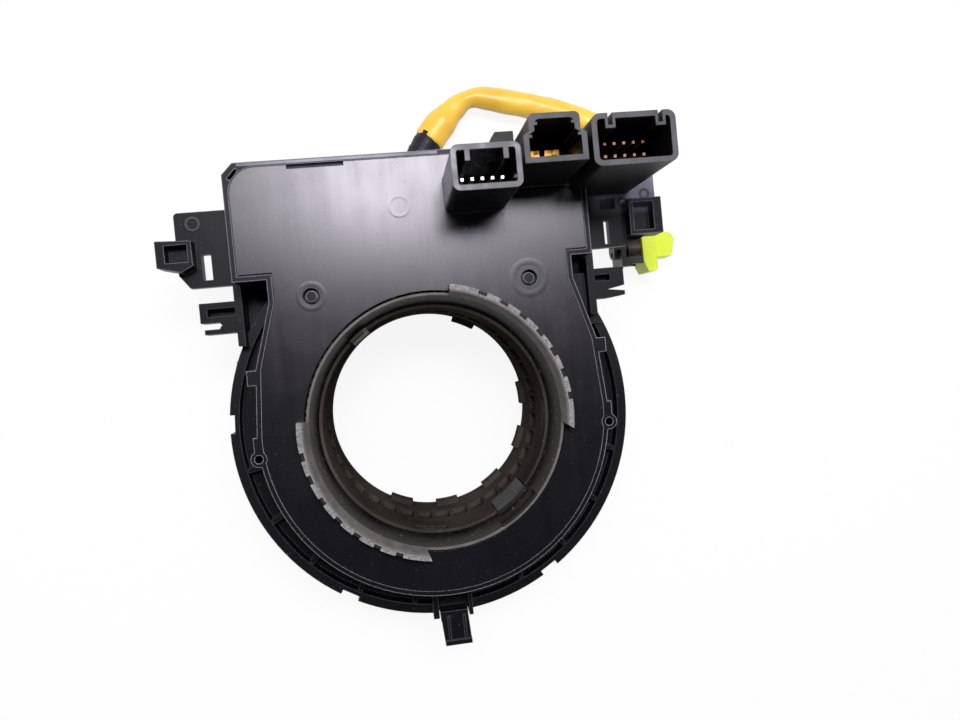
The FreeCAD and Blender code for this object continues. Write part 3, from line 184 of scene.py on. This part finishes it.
def edges(tree):
    """Mask of painted highlights along edges, from how far the rounded normal leans."""
    soft = node(tree, "ShaderNodeBevel", Radius=EDGE_HIGHLIGHT_RADIUS, samples=BEVEL_SAMPLES)
    lean = node(tree, "ShaderNodeVectorMath", operation="DOT_PRODUCT")
    tree.links.new(soft.outputs["Normal"], lean.inputs[0])
    tree.links.new(node(tree, "ShaderNodeNewGeometry").outputs["Normal"], lean.inputs[1])
    return spread(tree, lean.outputs["Value"], 0.0, 1.0, *EDGE_HIGHLIGHT_SPAN)


def patch(tree, where, low, high, soft):
    """Uneven mask of the box from low to high in millimetres, with soft sides."""
    place = axes(tree, where)
    total = mottle(tree, where, *BLOTCH)
    for axis, first, last in zip("XYZ", low, high):
        for outside, inside in ((first - soft, first), (last + soft, last)):
            total = combine(tree, "MULTIPLY", total, rise(tree, place[axis], outside, inside))
    return total


def relief(tree, bsdf, layers, edge):
    """Layers of bump, each a height, strength and depth, on top of rounded edges."""
    normal = None
    if edge:
        normal = node(tree, "ShaderNodeBevel", Radius=edge, samples=BEVEL_SAMPLES).outputs["Normal"]
    for height, strength, depth in layers:
        bump = node(tree, "ShaderNodeBump", Strength=strength, Distance=depth)
        tree.links.new(height, bump.inputs["Height"])
        if normal:
            tree.links.new(normal, bump.inputs["Normal"])
        normal = bump.outputs["Normal"]
    tree.links.new(normal, bsdf.inputs["Normal"])


# Materials. Colours are linear, noise scales are in waves per metre. A mottle is a scale,
# the values that it gives and, where it isn't all of it, the span of the noise between them.
# The places are those of a drift's darker and lighter colour, and a blur is what is added to
# the roughness at least and at most.

PORE, DRIFT, DUST, BLUR, STREAK = 2600.0, 38.0, 1500.0, 160.0, 420.0
TOP_HIGHLIGHT_MOTTLE = (210.0, 0.55, 1.0, 0.35, 0.6)
DRIFT_PLACES = (0.35, 0.65)
PLAIN_BLUR, STREAK_BLUR = (-0.06, 0.08), (-0.02, 0.05)
STREAK_SPAN, STREAK_STRETCH = (0.02, 0.55), (1, 0.05, 1)
PORE_DEPTH, MARK_DEPTH = 0.04 * MM, 0.3 * MM
PLASTIC_EDGE, CAM_EDGE, METAL_EDGE = 0.25 * MM, 0.2 * MM, 0.08 * MM
TOP_FADE = 0.15                 # millimetres below the height top over which the painted highlight fades
TOP_HIGHLIGHT_ROUGH = 0.62
EDGE_HIGHLIGHT_LEVEL = (32.5, 41.0)       # heights between which the painted highlights along edges grow brighter
EDGE_HIGHLIGHT_LEAST = 0.18
DUST_COLOR = (0.42, 0.41, 0.40)

METAL_DRIFT, METAL_SHINE, METAL_GRAIN = 900.0, 2400.0, 5000.0
METAL_PLACES, METAL_BLUR = (0.35, 0.6), (-0.05, 0.15)
METAL_BUMP, METAL_DEPTH, METAL_LIGHTER = 0.2, 0.02 * MM, 1.12

CAM_DRIFT, CAM_SPECKLE, CAM_BAND, CAM_DUST = 55.0, 2100.0, 300.0, 1300.0
CAM_SHADE_MOTTLE, CAM_ROUGH = (42.0, 0.6, 1.0, 0.4, 0.6), (240.0, 0.38, 0.58)
CAM_PLACES, BLOCK_PLACES = (0.3, 0.7), (0.35, 0.65)
CAM_COLORS = (0.026, 0.0208, 0.0195), (0.050, 0.0415, 0.0395)
BAND_HIGHLIGHT_COLORS = (0.095, 0.086, 0.083), (0.15, 0.138, 0.134)
BLOCK_COLORS = (0.15, 0.144, 0.150), (0.31, 0.298, 0.308)
PAINTED_SHADE_COLOR = (0.005, 0.0045, 0.0045)
CAM_DUST_COLOR = (0.36, 0.34, 0.32)
BAND_LEVEL, BAND_REACH = (43.2, 43.4), (29.3, 29.5)
BLOCK_LEVEL, BLOCK_REACH = (45.5, 45.8), (30.75, 30.95)
SHADE_LEVEL = (38.5, 42.2)
SHADE_REST = 0.1                # strength of the painted shade above its level
BLOCK_SIDES = 0.25              # strength of the blocks' colour below theirs
CAM_SPECKS, CAM_BUMP, CAM_DEPTH = 0.45, 0.35, 0.05 * MM

WOVEN_DRIFT, WOVEN_FOLD = 95.0, 420.0
WOVEN_PLACES, WOVEN_BLUR = (0.3, 0.7), (-0.1, 0.1)
WOVEN_WANDER, WOVEN_LIGHTER = 0.4, 1.1
THREAD_BUMP, FOLD_BUMP, FOLD_DEPTH = 0.5, 0.3, 0.4 * MM


def plastic(name, color, rough, wear=0.18, bump=0.25, pore=PORE, spec=0.4, top=None, top_highlight_color=None,
            marks=(), mark_color=None, mark_bump=0.6, dust=0.0, streak=False, gloss=None,
            edge_highlight_color=None, painted_light_patches=()):
    """Moulded plastic with fine grain and a slow drift of colour. It can have a tinted
    gloss, streaks, dust, ring marks, patches of painted light, a painted highlight on faces
    above the height top, and painted highlights along its edges."""
    mat, tree, bsdf, where = start(name, Specular_IOR_Level=spec)
    if gloss:
        bsdf.inputs["Specular Tint"].default_value = (*gloss, 1)
    paint = drift(tree, grain(tree, where, DRIFT), DRIFT_PLACES, color, 1 - wear, 1 + wear)
    layers = [(grain(tree, where, pore, 2.0), bump, PORE_DEPTH)]
    # Painted highlight: faces above the height top painted paler in mottled spots, and rougher there
    if top_highlight_color:
        top_highlight = combine(tree, "MULTIPLY", rise(tree, height_of(tree, where), top - TOP_FADE, top),
                      mottle(tree, where, *TOP_HIGHLIGHT_MOTTLE))
        paint = tint(tree, paint, top_highlight, top_highlight_color)
    # Painted highlights along the edges, brighter higher up
    if edge_highlight_color:
        line = combine(tree, "MULTIPLY", edges(tree),
                       rise(tree, height_of(tree, where), *EDGE_HIGHLIGHT_LEVEL, EDGE_HIGHLIGHT_LEAST))
        paint = tint(tree, paint, line, edge_highlight_color)
    # Patches of painted light, each a box tinted to a painted reflection or highlight
    for low, high, soft, shade in painted_light_patches:
        paint = tint(tree, paint, patch(tree, where, low, high, soft), shade)
    if marks:
        mask = rings(tree, where, marks)
        layers.append((mask, mark_bump, MARK_DEPTH))
        if mark_color:
            paint = tint(tree, paint, mask, mark_color)
    if dust:
        paint = tint(tree, paint, specks(tree, where, DUST, dust), DUST_COLOR)
    tree.links.new(paint, bsdf.inputs["Base Color"])
    blur = grain(tree, where, BLUR)
    if streak:
        blur = combine(tree, "MULTIPLY", grain(tree, where, STREAK, 2.0, STREAK_STRETCH), blur)
        blur = spread(tree, blur, *[rough + part for part in STREAK_BLUR], *STREAK_SPAN)
    else:
        blur = spread(tree, blur, *[rough + part for part in PLAIN_BLUR])
    if top_highlight_color:
        blur = combine(tree, "MAXIMUM", blur, combine(tree, "MULTIPLY", top_highlight, TOP_HIGHLIGHT_ROUGH))
    tree.links.new(blur, bsdf.inputs["Roughness"])
    relief(tree, bsdf, layers, PLASTIC_EDGE)
    return mat


def metal(name, color, rough, bare=1.0, shade=0.8):
    """Drawn metal, its darker spots at the share shade of its colour."""
    mat, tree, bsdf, where = start(name, Metallic=bare)
    paint = drift(tree, grain(tree, where, METAL_DRIFT), METAL_PLACES, color, shade, METAL_LIGHTER)
    blur = mottle(tree, where, METAL_SHINE, *[rough + part for part in METAL_BLUR])
    tree.links.new(paint, bsdf.inputs["Base Color"])
    tree.links.new(blur, bsdf.inputs["Roughness"])
    relief(tree, bsdf, [(grain(tree, where, METAL_GRAIN), METAL_BUMP, METAL_DEPTH)], METAL_EDGE)
    return mat


def cam_plastic():
    """Warm grey moulding with painted shade that grows darker deeper in its dish, a painted
    highlight as a pale band at its edge and paler, speckled blocks."""
    mat, tree, bsdf, where = start("cam_grey", Specular_IOR_Level=0.06)
    reach, level = away(tree, where), height_of(tree, where)
    paint = ramp(tree, grain(tree, where, CAM_DRIFT), *zip(CAM_PLACES, CAM_COLORS))
    speckle = grain(tree, where, CAM_SPECKLE, 2.0)
    # Painted highlight: the top of the outer lip painted as a pale band
    band = ramp(tree, grain(tree, where, CAM_BAND), *zip(CAM_PLACES, BAND_HIGHLIGHT_COLORS))
    pale = ramp(tree, speckle, *zip(BLOCK_PLACES, BLOCK_COLORS))
    on_band = combine(tree, "MULTIPLY", rise(tree, level, *BAND_LEVEL), rise(tree, reach, *BAND_REACH))
    on_block = combine(tree, "MULTIPLY", rise(tree, level, *BLOCK_LEVEL, BLOCK_SIDES),
                       rise(tree, reach, *BLOCK_REACH))
    # Painted shade: darker the deeper in the dish, in mottled spots
    painted_shade = combine(tree, "MULTIPLY", rise(tree, level, *SHADE_LEVEL, 1.0, SHADE_REST),
                    mottle(tree, where, *CAM_SHADE_MOTTLE))
    for mask, color in ((painted_shade, PAINTED_SHADE_COLOR), (on_band, band), (on_block, pale),
                        (specks(tree, where, CAM_DUST, CAM_SPECKS), CAM_DUST_COLOR)):
        paint = tint(tree, paint, mask, color)
    tree.links.new(paint, bsdf.inputs["Base Color"])
    tree.links.new(mottle(tree, where, *CAM_ROUGH), bsdf.inputs["Roughness"])
    relief(tree, bsdf, [(speckle, CAM_BUMP, CAM_DEPTH)], CAM_EDGE)
    return mat


def woven(name, color, pitch, rough, depth, shade, sheen=0.2, spec=0.5):
    """Two crossing sets of threads along the piece, its darker spots at the share shade
    of its colour."""
    mat, tree, bsdf, where = start(name, Sheen_Weight=sheen, Specular_IOR_Level=spec)
    uv = node(tree, "ShaderNodeUVMap", uv_map="lay").outputs["UV"]
    waves = []
    for way in ("X", "Y"):
        wave = node(tree, "ShaderNodeTexWave", Scale=pitch, Distortion=WOVEN_WANDER, bands_direction=way)
        tree.links.new(uv, wave.inputs["Vector"])
        waves.append(wave.outputs["Fac"])
    cross = combine(tree, "MULTIPLY", *waves)
    paint = drift(tree, grain(tree, where, WOVEN_DRIFT), WOVEN_PLACES, color, shade, WOVEN_LIGHTER)
    blur = spread(tree, cross, *[rough + part for part in WOVEN_BLUR])
    tree.links.new(paint, bsdf.inputs["Base Color"])
    tree.links.new(blur, bsdf.inputs["Roughness"])
    folds = grain(tree, where, WOVEN_FOLD)
    relief(tree, bsdf, [(cross, THREAD_BUMP, depth), (folds, FOLD_BUMP, FOLD_DEPTH)], 0)
    return mat


# Painted highlight: the tops of the socket rims painted paler, as where they face the light
RIM_HIGHLIGHT = (0.105, 0.100, 0.115)
CASE_MARKS = ((-53.3, 52.2, 1.5, 0.5), (58.9, 51.5, 1.1, 0.4), (53.1, 49.6, 1.1, 0.4))
CASE_PAINTED_LIGHT = (
    ((46, 49, 0), (64, 62, 33), 2.5, (0.22, 0.21, 0.30)),                # painted reflection of the light on the right bracket
    ((-40, 62.8, 41), (6, 63.3, 44), 0.15, (0.30, 0.29, 0.34)),          # strip on the upper edge: rub wear with a painted highlight
)
COVER_MARKS = (
    (-26.1, 31.7, 2.9, 0.7), (25.1, 31.7, 3.9, 0.9), (-4.0, 50.9, 2.3, 0.5), (0.1, -35.5, 0.5, 0.4),
)
GEAR, MAGNET = (0.62, 0.60, 0.54), (0.03, 0.03, 0.032)
CHIP, LEAD_BLOCK = (0.012, 0.012, 0.014), (0.015, 0.015, 0.018)
LOOKS = {
    "stator_case": plastic("case_black", (0.0036, 0.0034, 0.0048), 0.40, spec=0.16, dust=0.12,
                           gloss=(0.90, 0.87, 1.0), edge_highlight_color=(0.42, 0.40, 0.50), marks=CASE_MARKS,
                           mark_color=(0.06, 0.058, 0.068), painted_light_patches=CASE_PAINTED_LIGHT),
    "rear_cover": plastic("cover_black", (0.0036, 0.0034, 0.0056), 0.25, bump=0.05, spec=0.5, dust=0.05,
                          streak=True, gloss=(0.95, 0.90, 1.0), top=66.3, top_highlight_color=RIM_HIGHLIGHT,
                          marks=COVER_MARKS, mark_bump=0.05),
    "connector_block": plastic("connector_grey", (0.0060, 0.0055, 0.0068), 0.42, spec=0.15,
                               top=64.3, top_highlight_color=RIM_HIGHLIGHT),
    "sensor_pins": metal("pin_tin", (0.62, 0.61, 0.58), 0.3),
    "airbag_pins": metal("pin_tin_dark", (0.55, 0.50, 0.44), 0.25),
    "switch_pins": metal("pin_bronze", (0.23, 0.115, 0.075), 0.42, bare=0.75),
    "shorting_springs": metal("spring_gold", (0.50, 0.26, 0.06), 0.36, shade=0.08),
    "rotor": plastic("rotor_grey", (0.047, 0.038, 0.035), 0.6, wear=0.4, spec=0.0, dust=0.2),
    "rotor_pins": metal("pin_tin_front", (0.78, 0.76, 0.72), 0.24),
    "cancel_cam": cam_plastic(),
    "ring_gear": plastic("gear_white", GEAR, 0.45),
    "first_gear": plastic("gear_white_one", GEAR, 0.45),
    "second_gear": plastic("gear_white_two", GEAR, 0.45),
    "first_magnet": plastic("magnet_dark", MAGNET, 0.4),
    "second_magnet": plastic("magnet_dark_two", MAGNET, 0.4),
    "circuit_board": plastic("board_green", (0.012, 0.10, 0.045), 0.35, bump=0.1),
    "hall_sensors": plastic("chip_black", CHIP, 0.5),
    "processor": plastic("chip_black_two", CHIP, 0.5),
    "outer_lead_block": plastic("lead_black", LEAD_BLOCK, 0.45),
    "inner_lead_block": plastic("lead_black_two", LEAD_BLOCK, 0.45),
    "flat_cable": plastic("cable_film", (0.50, 0.33, 0.14), 0.25, pore=900.0),
    "slide_sheet": plastic("sheet_film", (0.70, 0.69, 0.64), 0.3),
    "squib_housing": plastic("plug_lime", (0.74, 0.88, 0.04), 0.36, wear=0.08),
    "squib_barrel": plastic("plug_brown", (0.050, 0.032, 0.022), 0.4, dust=0.4),
    "squib_lock": plastic("lock_black", (0.010, 0.010, 0.011), 0.4),
}
for name, look in LOOKS.items():
    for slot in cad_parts[name].material_slots:
        slot.material = look


def add(name, data):
    """A new object in the scene."""
    item = bpy.data.objects.new(name, data)
    bpy.context.collection.objects.link(item)
    return item


# Airbag lead. The corners of its route, in millimetres, are the control points of its line.

ROUTE = (
    (0, 46.5, 4.2), (0, 54.0, 4.2), (0.7, 63.6, 4.2), (4.7, 73.4, 4.2), (13.0, 82.9, 4.2),
    (19.8, 88.2, 4.3), (28.2, 86.3, 4.5), (40.8, 83.2, 4.9), (53.4, 78.6, 5.4), (60.5, 73.1, 5.8),
    (64.4, 64.7, 6.1), (66.8, 55.5, 6.2), (66.8, 46.0, 6.2),
)
LINE_STEPS = 24                 # points of the line to each control point
ROOT_END = 31.6                 # run in millimetres at which the sleeve comes out over the root
ROOT_TUCK = 1.0                 # the root's tube runs on by this under the sleeve
SIDES = 32
ROUND_UV = 0.022                # size of the texture once round a tube
ABOVE_FLOOR = 0.05 * MM

# Half widths of the sleeve in millimetres by run, the root's stretch hidden under the tape
SLEEVE_WIDTHS = (
    (0, 2.6), (ROOT_END - 1.2, 3.6), (ROOT_END, 4.5), (ROOT_END + 5, 4.4), (ROOT_END + 11, 3.3),
    (ROOT_END + 16, 2.6), (ROOT_END + 22, 3.2), (ROOT_END + 28, 3.5), (200, 3.4),
)
FOLD_ALONG, FOLD_AROUND, FOLD_SIZE = 150, 1.3, 0.08    # noise by run and angle, and its share
CREASE_SIZE, CREASE_TURN, CREASE_TWIST, CREASE_WIDTH = 0.10, 0.6, 14, 0.12
SLEEVE_FLAT, SLEEVE_TALL = 0.94, 4.12 * MM      # half height by half width, and the most that it is
TAPE_RADIUS, TAPE_LAP, TAPE_PITCH = 3.9 * MM, 0.22 * MM, 2.6    # the pitch in millimetres


def lead_line():
    """Points of the smooth line that the lead follows."""
    curve = bpy.data.curves.new("lead_line", "CURVE")
    curve.dimensions = "3D"
    curve.resolution_u = LINE_STEPS
    spline = curve.splines.new("NURBS")
    spline.points.add(len(ROUTE) - 1)
    for point, place in zip(spline.points, ROUTE):
        point.co = (*[value * MM for value in place], 1)
    spline.order_u = 3
    spline.use_endpoint_u = True
    guide = bpy.data.objects.new("lead_line", curve)
    mesh = bpy.data.meshes.new_from_object(guide)
    points = [vertex.co.copy() for vertex in mesh.vertices]
    bpy.data.objects.remove(guide)
    return points


def tube(name, path, size, look):
    """Mesh tube along points. size(angle, run) gives its half width and half height there."""
    verts, faces, uvs = [], [], []
    run = 0.0
    last = len(path) - 1
    for index, point in enumerate(path):
        ahead = path[min(index + 1, last)] - path[max(index - 1, 0)]
        side = ahead.cross(Vector((0, 0, 1))).normalized()
        up = side.cross(ahead).normalized()
        if index:
            run += (point - path[index - 1]).length
        for step in range(SIDES):
            angle = 2 * math.pi * step / SIDES
            wide, tall = size(angle, run)
            place = point + side * wide * math.cos(angle) + up * tall * math.sin(angle)
            place.z = max(place.z, ABOVE_FLOOR)
            verts.append(place)
            uvs.append((run, step / SIDES * ROUND_UV))
    for near in range(0, last * SIDES, SIDES):
        far = near + SIDES
        for step in range(SIDES):
            other = (step + 1) % SIDES
            faces.append([near + step, near + other, far + other, far + step])
    faces.append(list(range(SIDES)))
    faces.append([last * SIDES + step for step in reversed(range(SIDES))])
    mesh = bpy.data.meshes.new(name)
    mesh.from_pydata(verts, [], faces)
    layer = mesh.uv_layers.new(name="lay")
    for loop in mesh.loops:
        layer.data[loop.index].uv = uvs[loop.vertex_index]
    mesh.polygons.foreach_set("use_smooth", [True] * len(mesh.polygons))
    mesh.update()
    mesh.materials.append(look)
    return add(name, mesh)


def sleeve_half(run):
    """Half width of the sleeve in millimetres, run millimetres from the outlet."""
    for (before, low), (after, high) in zip(SLEEVE_WIDTHS, SLEEVE_WIDTHS[1:]):
        if run <= after:
            share = (run - before) / (after - before)
            return low + (high - low) * share * share * (3 - 2 * share)
    return SLEEVE_WIDTHS[-1][1]


def sleeve_size(angle, run):
    """Soft sleeve, loose where it laps over the root and pinched at the knee."""
    around = Vector((run * FOLD_ALONG, math.cos(angle) * FOLD_AROUND, math.sin(angle) * FOLD_AROUND))
    fold = 1 + FOLD_SIZE * noise.noise(around)
    off = math.sin(angle / 2 - CREASE_TURN - run * CREASE_TWIST) / CREASE_WIDTH
    crease = 1 - CREASE_SIZE * math.exp(-off ** 2)
    half = sleeve_half(run / MM) * MM * fold
    return half, min(half * SLEEVE_FLAT, SLEEVE_TALL) * crease


def root_size(angle, run):
    """Tape wound round the lead, each turn lapping the one before."""
    radius = TAPE_RADIUS + TAPE_LAP * ((run / MM / TAPE_PITCH + angle / (2 * math.pi)) % 1.0)
    return radius, radius


line = lead_line()
runs = [0.0]
for before, after in zip(line, line[1:]):
    runs.append(runs[-1] + (after - before).length)
root_line = [point for point, run in zip(line, runs) if run <= (ROOT_END + ROOT_TUCK) * MM]
yellow = woven("sleeve_yellow", (0.89, 0.53, 0.055), 760.0, 0.42, 0.03 * MM, 0.86)
slate = woven("root_slate", (0.019, 0.018, 0.029), 300.0, 0.5, 0.09 * MM, 0.6, sheen=0.03, spec=0.2)
sleeve = tube("lead_sleeve_cloth", line, sleeve_size, yellow)
root = tube("lead_root_tape", root_line, root_size, slate)
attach(sleeve, "rotor")
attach(root, "rotor")
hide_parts("lead_sleeve")
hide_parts("lead_root")


# Floors of the gaps between the blocks of the cam, and the hook seen in its bore. Angles
# are in degrees from +X, reaches and levels in millimetres.

WEB_GAPS = (
    (3.9, 7.0), (13.7, 17.5), (23.5, 27.6), (33.9, 37.4), (43.7, 47.3), (53.4, 57.1), (63.4, 67.3),
    (186.7, 190.2), (196.5, 200.2), (206.8, 210.2), (217.1, 220.6), (227.0, 230.3), (236.9, 240.0),
    (246.7, 249.9),
)
WEB_LAP = 0.2
WEB_REACH, WEB_LEVEL = (31.0, 31.95), (42.7, 45.3)
HOOK = (
    (122.0, 132.0, 26.4, 27.2, 32.0, 37.0),
    (122.0, 124.2, 27.1, 27.95, 32.0, 37.0),
    (129.8, 132.0, 27.1, 27.95, 32.0, 37.0),
)
SECTOR_STEPS = 4


def sectors(name, rows, look):
    """One mesh of ring sectors, each from angle to angle, reach to reach and level to level."""
    verts, faces = [], []
    for first, last, inner, outer, low, top in rows:
        base = len(verts)
        for step in range(SECTOR_STEPS + 1):
            angle = math.radians(first + (last - first) * step / SECTOR_STEPS)
            for reach, level in ((inner, low), (outer, low), (outer, top), (inner, top)):
                verts.append((reach * MM * math.cos(angle), reach * MM * math.sin(angle), level * MM))
        for near in range(base, base + 4 * SECTOR_STEPS, 4):
            far = near + 4
            for side in range(4):
                other = (side + 1) % 4
                faces.append((near + side, far + side, far + other, near + other))
        faces.append(tuple(base + side for side in range(4)))
        faces.append(tuple(base + 4 * SECTOR_STEPS + side for side in (3, 2, 1, 0)))
    mesh = bpy.data.meshes.new(name)
    mesh.from_pydata(verts, [], faces)
    mesh.materials.append(look)
    piece = add(name, mesh)
    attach(piece, "rotor")


sectors("cam_webs", [(first - WEB_LAP, last + WEB_LAP, *WEB_REACH, *WEB_LEVEL) for first, last in WEB_GAPS],
        plastic("web_grey", (0.024, 0.021, 0.021), 0.55, wear=0.3, spec=0.12, dust=0.2))
sectors("bore_hook", HOOK,
        plastic("hook_grey", (0.085, 0.078, 0.076), 0.55, wear=0.3, spec=0.1, dust=0.2))


# Stage, light and camera, in metres

FLOOR_HALF, FLOOR_LEVEL, FLOOR_SHADE, FLOOR_WHITE = 3.0, -0.0002, 0.86, 0.9
LAMPS = (
    ("softbox", (0.025, 0.196, 0.545), (0.01, 0.02, 0.03), (0.38, 0.16), 2.3),
    ("key", (0.006, 0.178, 0.525), (0.01, 0.03, 0.04), (0.14, 0.08), 0.95),
)
SKY_SIDES, SKY_TOP, SKY_SPAN = 0.55, 0.03, (0.62, 0.88)
CAMERA_SENSOR, CAMERA_LENS, CAMERA_NEAR = 36.0, 27.75, 0.01
CAMERA_PLACE = (
    (0.988745, 0.096978, -0.113925, -0.00849340),
    (-0.095205, 0.995238, 0.020916, 0.01695331),
    (0.115411, -0.009834, 0.993269, 0.21613740),
    (0, 0, 0, 1),
)


def stage_floor():
    """Pale floor that takes the shadow and is white as a background."""
    mesh = bpy.data.meshes.new("floor")
    corners = ((-1, -1), (1, -1), (1, 1), (-1, 1))
    mesh.from_pydata([(x * FLOOR_HALF, y * FLOOR_HALF, FLOOR_LEVEL) for x, y in corners],
                     [], [(0, 1, 2, 3)])
    mat = bpy.data.materials.new("floor_white")
    mat.use_nodes = True
    tree = mat.node_tree
    bsdf = tree.nodes["Principled BSDF"]
    bsdf.inputs["Base Color"].default_value = (FLOOR_SHADE, FLOOR_SHADE, FLOOR_SHADE, 1)
    bsdf.inputs["Roughness"].default_value = 0.9
    glow = node(tree, "ShaderNodeEmission", Strength=1.0)
    mix = node(tree, "ShaderNodeMixShader")
    ray = node(tree, "ShaderNodeLightPath").outputs
    seen = combine(tree, "MAXIMUM", ray["Is Camera Ray"], ray["Is Glossy Ray"])
    seen = combine(tree, "MAXIMUM", seen, ray["Is Transmission Ray"])
    tree.links.new(combine(tree, "MULTIPLY", seen, FLOOR_WHITE), mix.inputs["Fac"])
    tree.links.new(bsdf.outputs["BSDF"], mix.inputs[1])
    tree.links.new(glow.outputs["Emission"], mix.inputs[2])
    tree.links.new(mix.outputs["Shader"], tree.nodes["Material Output"].inputs["Surface"])
    mesh.materials.append(mat)
    floor = add("floor", mesh)


stage_floor()
for name, place, target, size, power in LAMPS:
    light = bpy.data.lights.new(name, "AREA")
    light.shape = "RECTANGLE"
    light.size, light.size_y = size
    light.energy = power
    lamp = add(name, light)
    lamp.location = place
    lamp.rotation_euler = (Vector(target) - Vector(place)).to_track_quat("-Z", "Y").to_euler()

world = bpy.data.worlds.new("studio")
bpy.context.scene.world = world
world.use_nodes = True
sky = world.node_tree
backdrop = sky.nodes["Background"].inputs
up = height_of(sky, node(sky, "ShaderNodeTexCoord").outputs["Generated"])
sky.links.new(spread(sky, up, SKY_SIDES, SKY_TOP, *SKY_SPAN), backdrop["Strength"])
backdrop["Color"].default_value = (1, 1, 1, 1)

camera = bpy.data.cameras.new("camera")
camera.sensor_width = CAMERA_SENSOR
camera.lens = CAMERA_LENS
camera.clip_start = CAMERA_NEAR
eye = add("camera", camera)
eye.matrix_world = Matrix(CAMERA_PLACE)
bpy.context.scene.camera = eye
bpy.context.scene.view_settings.view_transform = "Standard"
